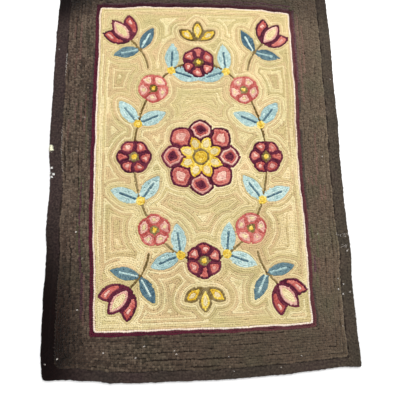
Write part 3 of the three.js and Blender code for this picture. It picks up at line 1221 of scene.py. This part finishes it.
class Effects:
    """The shader groups that the materials share."""

    def __init__(self):
        self.painted_light = painted_light_group()
        self.fibre = fibre_group()
        self.weave = weave_group()

    def wool(self, make, colour, tints=None, painted_light=None, **amounts):
        """The look of wool in one colour, with its tinted patches and its painted light and shade."""
        inputs = {"Colour": colour, **amounts}
        if tints:
            inputs.update({"Warm": screen(tints[0]), "Cool": screen(tints[1]), "Tint": TINT_AMOUNT})
        if painted_light:
            inputs["Light"] = make.group(self.painted_light, painted_light)["Light"]
        return make.group(self.fibre, inputs)


def wool_material(name, tones, effects, tints=None, painted_light=None):
    """A strip of woven wool: its threads run along the row, over each loop."""
    material, make, shader = new_material(name)
    shade = make.attribute("shade")["Fac"]
    wool = effects.wool(make, tone_ramp(make, shade, tones), tints, painted_light)
    turns = make.math("MULTIPLY", make.attribute("across")["Fac"], 2 * math.pi * STRIP_THREADS)
    height = make.math("MULTIPLY_ADD", make.math("COSINE", turns), THREAD_RELIEF, wool["Height"])
    cloth_finish(make, shader, wool["Colour"], height, LOOP_DEPTH)
    return material


def binding_material(effects):
    material, make, shader = new_material("binding_cloth")
    noise = make.noise(make.place(), *BINDING_DYE)
    dye = make.math("MULTIPLY_ADD", noise, DYE_CONTRAST, 0.5 - 0.5 * DYE_CONTRAST)
    colour = tone_ramp(make, dye, BINDING_TONES)
    wool = effects.wool(make, colour, BINDING_TINTS, BINDING_PAINTED_LIGHT, **BINDING_WEAR)
    threads = make.group(effects.weave, {"Thread": BINDING_THREAD})["Height"]
    height = make.math("MULTIPLY_ADD", wool["Height"], BINDING_FIBRE, threads)
    cloth_finish(make, shader, wool["Colour"], height, BINDING_DEPTH, BINDING_SHEEN)
    return material


def foundation_material(effects):
    """The strips show between the threads of the cloth; its face has the nearest wool's darkest tone and no
    linen, as painted shade in the gaps between the loops.
    """
    material, make, shader = new_material("foundation_cloth")
    wool = make.attribute("wool")
    threads = make.group(effects.weave, {"Thread": LINEN_THREAD})["Height"]
    bare = make.math("MULTIPLY", make.math("SUBTRACT", 1.0, threads), LINEN_SHARE)
    colour = make.mix(make.math("MULTIPLY", bare, wool["Alpha"]), wool["Color"], screen(LINEN))
    cloth_finish(make, shader, colour, threads, LINEN_DEPTH)
    return material


# The foundation cloth, flat under the loops, with its margin lifted over the back of the binding

FOUNDATION_INSET = 4.0
FOUNDATION_STEP = 4.0
# How far in from the binding's back edge the margin is fully lifted
LIFT_ROOM = 0.5


def margin_lift(points):
    """From 0 under the loops to 1 inside the binding."""
    return smooth(np.clip((SEAM - insets(points)) / (SEAM - BINDING_BACK - LIFT_ROOM), 0, 1))


def foundation_plan():
    """Points and triangles of the cloth, flat, and how many of the points lie on its rim."""
    rim = resample(edge_ring(FOUNDATION_INSET), FOUNDATION_STEP)[0]
    low, high = rim.min(0), rim.max(0)
    x, y = (np.arange(low[axis], high[axis], FOUNDATION_STEP) for axis in (0, 1))
    grid = np.stack(np.meshgrid(x, y), axis=-1).reshape(-1, 2)
    grid = grid[inside(grid, edge_ring(FOUNDATION_INSET + FOUNDATION_STEP / 2))]
    around = [(number, (number + 1) % len(rim)) for number in range(len(rim))]
    places = [Vector(point) for point in np.vstack((rim, grid)).tolist()]
    flat, _, triangles, *_ = delaunay_2d_cdt(places, around, [], 1, 1e-6)
    return np.array(flat), np.array(triangles), len(rim)


def foundation(hooking, material):
    points, triangles, rim = foundation_plan()
    lift = margin_lift(points)
    under = np.column_stack((points, lift * MARGIN_BOTTOM))
    over = np.column_stack((points, FOUNDATION_TOP + lift * (MARGIN_TOP - FOUNDATION_TOP)))
    count = len(points)
    walls = [(i, (i + 1) % rim, (i + 1) % rim + count, i + count) for i in range(rim)]
    faces = triangles[:, ::-1].tolist() + (triangles + count).tolist() + walls
    mesh = bpy.data.meshes.new("foundation")
    mesh.from_pydata((np.vstack((under, over)) * MM).tolist(), [], faces)
    layer = mesh.attributes.new("wool", "FLOAT_COLOR", "POINT")
    layer.data.foreach_set("color", np.vstack(nearest_wool(hooking, points)).ravel())
    mesh.materials.append(material)
    return new_object("foundation", mesh)


def nearest_wool(hooking, points):
    """The wool of the loop nearest to each point.

    These are its middle tones for the back, and for the face its darkest ones with no linen over them, as
    painted shade in the gaps between loops.
    """
    loops, tones = [], []
    for wool, (darkest, middle, _) in WOOLS.items():
        places = hooking.loops(wool)[:, :2]
        loops.append(places)
        tones += [(screen(middle), (*screen(darkest)[:3], 0.0))] * len(places)
    tree = tree_of(np.vstack(loops))
    nearest = [tree.find((x, y, 0.0))[1] for x, y in points.tolist()]
    return np.array(tones)[nearest].swapaxes(0, 1)


# The binding: a strip of cloth folded round the edge, turned under along its inner side and sewn down

# The fold's outline: points round the rim and along each part of the front, the room after the rim, the slope
# up to the turned edge, and that edge's rounding as (out from its line, down from its top) and its foot
RIM_POINTS, FRONT_POINTS = 13, 6
RIM_ROOM = 2.0
SLOPE = 2.5
ROUNDING_START = 1.2
ROUNDING = ((0.35, 0.25), (0.0, 1.0))
EDGE_FOOT = 3.0
# A point of the fold higher than this lies on the front
FRONT_FROM = 2.5
# How far the rim strays in and out, in waves of these lengths, and where that ends
RIM_ROUGHNESS = 0.4
RIM_WAVES = (10, 45)
RIM_END = 9
# The same for the inner edge, how far it is drawn back on the whole, its limits, and where that begins
INNER_ROUGHNESS = 1.3
INNER_WAVE = 50
INNER_DRAWN = 0.9
INNER_LIMITS = (-3.5, 0.25)
INNER_START = 14
# Wrinkles: how many, the least and most of the distance from the edge, the width and the reach, how much the
# slant and the height differ, and the greatest height
WRINKLES = 170
WRINKLE_ACROSS, WRINKLE_WIDTH, WRINKLE_REACH = (5, 27), (2.0, 6.0), (5, 13)
WRINKLE_SLANT, WRINKLE_RISE, WRINKLE_MOST = 0.5, 0.32, 0.9
# Deeper wrinkles on the right side: (place along +Y, distance from the edge, slant, width, height)
RIGHT_WRINKLES = (
    (-157, 14, 0.15, 3.0, 0.9), (-166, 17, -0.2, 3.5, -0.8), (-176, 12, 0.3, 3.0, 0.8),
    (-186, 18, -0.1, 4.0, 0.7), (-197, 11, 0.2, 3.0, -0.7), (-250, 20, 0.0, 3.0, 0.7),
)
RIGHT_REACH = 9.0
# The face as (start, width) of the rise to it: by height, and by distance from the edge
FACE_HEIGHT, FACE_INSET = (3.2, 0.8), (0, 4)
# How far the sewing draws the inner edge up and down, and where across the front, as (start, width)
STITCH_STEP = 7.5
STITCH_DRAW, STITCH_DRAW_INSET = 0.3, (22, 5)


def binding_section():
    """The fold's outline as (inset, height): the back, round the rim, over the front, and back inside."""
    turn = np.linspace(-90, 90, RIM_POINTS)
    rim = [(FOLD_ROOM * (1 - math.cos(a)), BINDING_TOP / 2 * (1 + math.sin(a))) for a in np.radians(turn)]
    low_end = BINDING_FRONT - TURNED_EDGE - SLOPE
    low = np.linspace(FOLD_ROOM + RIM_ROOM, low_end, FRONT_POINTS)
    high = np.linspace(low_end + SLOPE, BINDING_FRONT - ROUNDING_START, FRONT_POINTS)
    front = [(inset, BINDING_TOP) for inset in low] + [(inset, TURNED_TOP) for inset in high]
    inner = [(BINDING_FRONT - out, TURNED_TOP - down) for out, down in ROUNDING]
    inner.append((BINDING_FRONT, EDGE_FOOT))
    room = BINDING_TOP / 2 - CLOTH
    lining = [
        (FOLD_ROOM - (FOLD_ROOM - CLOTH) * math.cos(a), BINDING_TOP / 2 + room * math.sin(a))
        for a in np.radians(turn[::-2])
    ]
    back = [(BINDING_BACK, CLOTH), (BINDING_BACK, 0.0)]
    return np.array(rim + front + inner + lining + back)


def slow_noise(along, length, draw, waves=9):
    """Uneven waves from about -1 to 1 along a closed line, from half a length to twice as long."""
    total = along[-1]
    result = np.zeros(len(along))
    for _ in range(waves):
        turns = max(1, round(total / (length * draw.uniform(0.5, 2.0))))
        result += np.sin(2 * math.pi * turns * along / total + draw.uniform(0, 2 * math.pi))
    return result / math.sqrt(waves)


def wrinkle(along, inset, middle, across, slant, width, reach, height):
    """One soft ridge or furrow across the binding, for each point of the section along the edge."""
    shift = slant * (inset - across)
    off = (along[None, :] - middle - shift[:, None]) / width
    return height * np.exp(-off ** 2) * np.exp(-((inset - across) / reach) ** 2)[:, None]


def any_wrinkle(along, draw):
    """The middle, distance from the edge, slant, width, reach and height of one wrinkle."""
    return (
        draw.uniform(0, along[-1]), draw.uniform(*WRINKLE_ACROSS), draw.normal(0, WRINKLE_SLANT),
        draw.uniform(*WRINKLE_WIDTH), draw.uniform(*WRINKLE_REACH), draw.normal(0, WRINKLE_RISE),
    )


def binding_relief(along, section, edge, draw):
    """How far each point of the binding is raised: one row for each point of the section."""
    inset, height = section.T
    relief = np.zeros((len(section), len(along)))
    for _ in range(WRINKLES):
        relief += wrinkle(along, inset, *any_wrinkle(along, draw))
    on_right = np.nonzero(edge[:, 0] > FIELD_WIDTH / 2)[0]
    for place, across, slant, width, deep in RIGHT_WRINKLES:
        middle = along[on_right[np.argmin(abs(edge[on_right, 1] - place))]]
        relief += wrinkle(along, inset, middle, across, slant, width, RIGHT_REACH, deep)
    # The sewing draws the inner edge down at each stitch
    by_stitch = STITCH_DRAW * np.cos(2 * math.pi * along / STITCH_STEP)
    drawn = by_stitch * rise(inset, *STITCH_DRAW_INSET)[:, None]
    on_face = rise(height, *FACE_HEIGHT) * rise(inset, *FACE_INSET)
    return (np.clip(relief, -WRINKLE_MOST, WRINKLE_MOST) + drawn) * on_face[:, None]


def binding(material):
    draw = np.random.default_rng([SEED, 3])
    section = binding_section()
    edge = edge_ring(0)
    along = distances_along(edge)
    relief = binding_relief(along, section, edge, draw)
    inner = np.clip(INNER_ROUGHNESS * slow_noise(along, INNER_WAVE, draw) - INNER_DRAWN, *INNER_LIMITS)
    rim = RIM_ROUGHNESS * sum(slow_noise(along, length, draw) for length in RIM_WAVES)
    rings = []
    for (inset, height), raised in zip(section, relief):
        on_front = height > FRONT_FROM
        plain = front_ring(inset / BINDING_FRONT) if on_front and inset > FOLD_ROOM else edge_ring(inset)
        inward = edge_ring(inset + 1) - edge_ring(inset)
        by_inner = rise(inset, INNER_START, BINDING_FRONT - INNER_START) * on_front
        by_rim = np.clip(1 - inset / RIM_END, 0, 1)
        shift = inner * by_inner + rim * by_rim
        rings.append(np.column_stack((plain + inward * shift[:, None], height + raised)))
    return new_object("binding", tube("binding", np.array(rings), material))


def tube(name, rings, material):
    """A mesh closed both ways through rings of equal counts."""
    count, around, _ = rings.shape
    number = np.arange(count * around).reshape(count, around)
    beside, ahead = np.roll(number, -1, axis=1), np.roll(number, -1, axis=0)
    faces = np.stack((number, beside, np.roll(ahead, -1, axis=1), ahead), axis=-1).reshape(-1, 4)
    mesh = bpy.data.meshes.new(name)
    mesh.from_pydata((rings.reshape(-1, 3) * MM).tolist(), [], faces.tolist())
    mesh.materials.append(material)
    mesh.polygons.foreach_set("use_smooth", np.ones(len(mesh.polygons), bool))
    face_out(mesh)
    return mesh


def face_out(mesh):
    work = bmesh.new()
    work.from_mesh(mesh)
    bmesh.ops.recalc_face_normals(work, faces=work.faces)
    work.to_mesh(mesh)
    work.free()


# Sewing thread along the binding's inner edge, and lint caught in the wool

# How far the stitches lie inside the edge, how far they stray and sink in, and the least and most of their
# lean off the seam
STITCH_INSET, STITCH_STRAY, STITCH_SUNK = 0.4, 0.4, 0.15
STITCH_LEAN, PALE_LEAN = (0.9, 2.0), (0.2, 0.7)
STITCH = {"Length": 5.0, "Width": 1.1, "Height": 0.7, "Blunt": 0.6}
PALE_STITCH = {"Length": 6.5, "Width": 1.0, "Height": 0.8, "Blunt": 0.6}
STITCH_JITTER = {"Turn": 0.3, "Lean": 0.12, "Spread": 0.25, "Seed": 5}
PALE_STEP = 5.4
# Stretches of the left seam where the thread has come up pale: from and to along +Y, and how pale
PALE_THREAD = ((195, 250, 0.5), (-30, 72, 0.2))

# Tufts of lint, as (across, along): dense ones on the left edge, and loose ones
DENSE_TUFTS = ((-325, -21), (-327, -33), (-320, -35), (-324, -41))
LOOSE_TUFTS = (
    (306, -287), (294, -297), (303, -308), (320, -304), (322, -215), (-269, -161),
    (-262, -320), (-297, -413), (-143, -418), (-125, -397), (-61, -415), (-208, -406),
)
# How many small ones lie about, how far in from the edge they can lie, and how close to each other
SMALL_TUFTS = 20
SMALL_TUFT_INSETS = (9, 16, 33, 45, 60, 74)
SMALL_TUFT_STEP = 3.0
# A scrap of pale fluff on the left edge
FLUFF = ((-328, 24),)
# Threads that have come out of the right side of the binding
LOOSE_THREADS = (
    (303, -179), (310, -180), (318, -179), (324, -177), (315, -202), (322, -204), (324, -215),
    (329, -352), (330, -357),
)
# Dark bits caught in the ground
DARK_BITS = ((-176, 260), (-142, 228))
LARGE_FIBRE = {"Length": 3.8, "Thickness": 0.36, "Curl": 2.6}
MIDDLING_FIBRE = {"Length": 3.0, "Thickness": 0.33, "Curl": 2.4}
SMALL_FIBRE = {"Length": 2.2, "Thickness": 0.28, "Curl": 2.4}
LONG_FIBRE = {"Length": 9.0, "Thickness": 0.3, "Curl": 2.0}
FIBRE_JITTER = {"Turn": 1.5, "Lean": 0.25, "Spread": 0.45, "Seed": 31}
# How far fibres lie above the face, and their darkest shade
FIBRE_LIFT, FIBRE_DARKEST = 0.2, 0.4
# The rug's face as (distance from the edge, height)
FACE = ((0, 2.5), (4, BINDING_TOP), (15, TURNED_TOP), (25, FOUNDATION_TOP + BORDER_LOOP["Height"]))


def seam(step, lean, draw):
    """Places along the binding's inner edge and the stitches' directions, leaning off the seam."""
    points, directions, _ = resample(front_ring(1 - STITCH_INSET / BINDING_FRONT), step)
    points = points + draw.normal(0, STITCH_STRAY, points.shape)
    return points, directions + sideways(directions) * draw.uniform(*lean, (len(points), 1))


def stitches(tree, dark, pale):
    draw = np.random.default_rng([SEED, 4])
    points, slant = seam(STITCH_STEP, STITCH_LEAN, draw)
    shades = draw.uniform(0, 1, len(points))
    sewn = set_on_points(
        "stitches", tree, points, TURNED_TOP - STITCH_SUNK, slant, shades, dark, **STITCH, **STITCH_JITTER,
    )
    points, slant = seam(PALE_STEP, PALE_LEAN, draw)
    shades = np.full(len(points), np.nan)
    for start, end, shade in PALE_THREAD:
        shades[(points[:, 0] < 0) & (points[:, 1] > start) & (points[:, 1] < end)] = shade
    kept = ~np.isnan(shades)
    come_up = set_on_points(
        "pale_stitches", tree, points[kept], TURNED_TOP, slant[kept], shades[kept], pale,
        **PALE_STITCH, **STITCH_JITTER,
    )
    return [sewn, come_up]


def fibres(name, tree, draw, centres, count, spread, material, size):
    """Tufts of loose fibres round some centres."""
    points = np.repeat(np.array(centres, float), count, axis=0)
    points = points + draw.normal(0, spread, points.shape)
    angle = draw.uniform(0, 2 * math.pi, len(points))
    directions = np.column_stack((np.cos(angle), np.sin(angle)))
    shades = draw.uniform(FIBRE_DARKEST, 1, len(points))
    height = np.interp(insets(points), *zip(*FACE)) + FIBRE_LIFT
    return set_on_points(name, tree, points, height, directions, shades, material, **FIBRE_JITTER, **size)


def lint(tree, threads):
    draw = np.random.default_rng([SEED, 5])
    rings = np.vstack([resample(edge_ring(inset), SMALL_TUFT_STEP)[0] for inset in SMALL_TUFT_INSETS])
    about = rings[draw.choice(len(rings), SMALL_TUFTS, replace=False)]
    # Name, centres, fibres round each, how far they spread, thread, and size
    kinds = (
        ("dense_lint", DENSE_TUFTS, 30, (1.0, 0.7), "white_lint", LARGE_FIBRE),
        ("loose_lint", LOOSE_TUFTS, 8, (0.8, 0.45), "pale_thread", MIDDLING_FIBRE),
        ("small_lint", about, 5, 0.5, "pale_thread", SMALL_FIBRE),
        ("fluff", FLUFF, 220, (2.1, 3.2), "fluff", LARGE_FIBRE),
        ("loose_threads", LOOSE_THREADS, 2, 1.2, "pale_thread", LONG_FIBRE),
        ("dark_bits", DARK_BITS, 3, 0.5, "dark_thread", SMALL_FIBRE),
    )
    return [
        fibres(name, tree, draw, centres, count, spread, threads[thread], size)
        for name, centres, count, spread, thread, size in kinds
    ]


# Camera, floor and light

CAMERA_PLACE = Vector((-0.0760, -0.2370, 0.7995))
CAMERA_AIM = Vector((-0.0034, -0.0948, 0.0))
# The picture's sideways direction: the camera is turned a little on its own axis
CAMERA_RIGHT = Vector((0.996, -0.0276, 0.0855))
LENS, SENSOR_WIDTH = 33.0, 36.0
# Soft lights that face the rug: (name, place, width, power), and the light from all round
LIGHTS = (("key_light", (0.7, 1.5, 1.6), 1.2, 52.0), ("fill_light", (-1.4, -0.9, 1.8), 1.6, 16.0))
ROOM_LIGHT = 0.62
FLOOR_HALF = 4.0
FLOOR_LOOK = {"Base Color": (0.9, 0.9, 0.9, 1.0), "Roughness": 0.9}


def add_camera():
    data = bpy.data.cameras.new("camera")
    data.lens = LENS
    data.sensor_width = SENSOR_WIDTH
    camera = new_object("camera", data)
    back = (CAMERA_PLACE - CAMERA_AIM).normalized()
    up = back.cross(CAMERA_RIGHT).normalized()
    axes = Matrix((up.cross(back), up, back)).transposed()
    camera.matrix_world = Matrix.Translation(CAMERA_PLACE) @ axes.to_4x4()
    bpy.context.scene.camera = camera


def add_light():
    for name, place, width, power in LIGHTS:
        data = bpy.data.lights.new(name, "AREA")
        data.shape = "DISK"
        data.size = width
        data.energy = power
        light = new_object(name, data)
        light.location = place
        light.rotation_mode = "QUATERNION"
        light.rotation_quaternion = (-Vector(place)).to_track_quat("-Z", "Y")
    world = bpy.data.worlds.new("studio")
    world.use_nodes = True
    background = world.node_tree.nodes["Background"]
    NodeTree(world.node_tree).join(background, {"Color": WHITE, "Strength": ROOM_LIGHT})
    bpy.context.scene.world = world
    bpy.context.scene.view_settings.view_transform = "Standard"


def add_floor():
    mesh = bpy.data.meshes.new("floor")
    corners = [(x * FLOOR_HALF, y * FLOOR_HALF, 0) for x, y in ((-1, -1), (1, -1), (1, 1), (-1, 1))]
    mesh.from_pydata(corners, [], [(0, 1, 2, 3)])
    material, make, shader = new_material("floor")
    make.join(shader, FLOOR_LOOK)
    mesh.materials.append(material)
    new_object("floor", mesh)


# The whole rug

def loop_kind(wool):
    """The size of a wool's loops, and its painted light and shade."""
    if wool in BORDER_WOOLS:
        return BORDER_LOOP, BORDER_PAINTED_LIGHT
    if wool in LINE_WOOLS:
        return LINE_LOOP, MAROON_PAINTED_LIGHT if wool == "edge_maroon" else None
    return LOOP, None


def hooked_pieces(hooking, tree, effects):
    pieces = []
    for number, (wool, tones) in enumerate(WOOLS.items()):
        loops = hooking.loops(wool)
        size, painted_light = loop_kind(wool)
        material = wool_material(wool + "_wool", tones, effects, TINTS.get(wool), painted_light)
        pieces.append(set_on_points(
            wool + "_loops", tree, loops[:, :2], FOUNDATION_TOP, loops[:, 2:4], loops[:, 4], material,
            **size, **LOOP_JITTER, Seed=LOOP_SEED + 2 * number,
        ))
    return pieces


def main():
    hooking = Hooking()
    hook_border(hooking)
    hook_field(hooking)
    loop_shape = hump_tree()
    effects = Effects()
    pile = hooked_pieces(hooking, loop_shape, effects)
    cloth = foundation(hooking, foundation_material(effects))
    edging = binding(binding_material(effects))
    threads = {name: wool_material(name, tones, effects) for name, tones in THREADS.items()}
    sewing = stitches(loop_shape, threads["dark_thread"], threads["pale_thread"])
    pile += lint(fibre_tree(), threads)

    for piece in (cloth, *pile):
        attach(piece, "root")
    for piece in (edging, *sewing):
        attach(piece, "root")
    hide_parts("hooked_rug")
    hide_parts("edge_binding")
    add_floor()
    add_camera()
    add_light()


main()
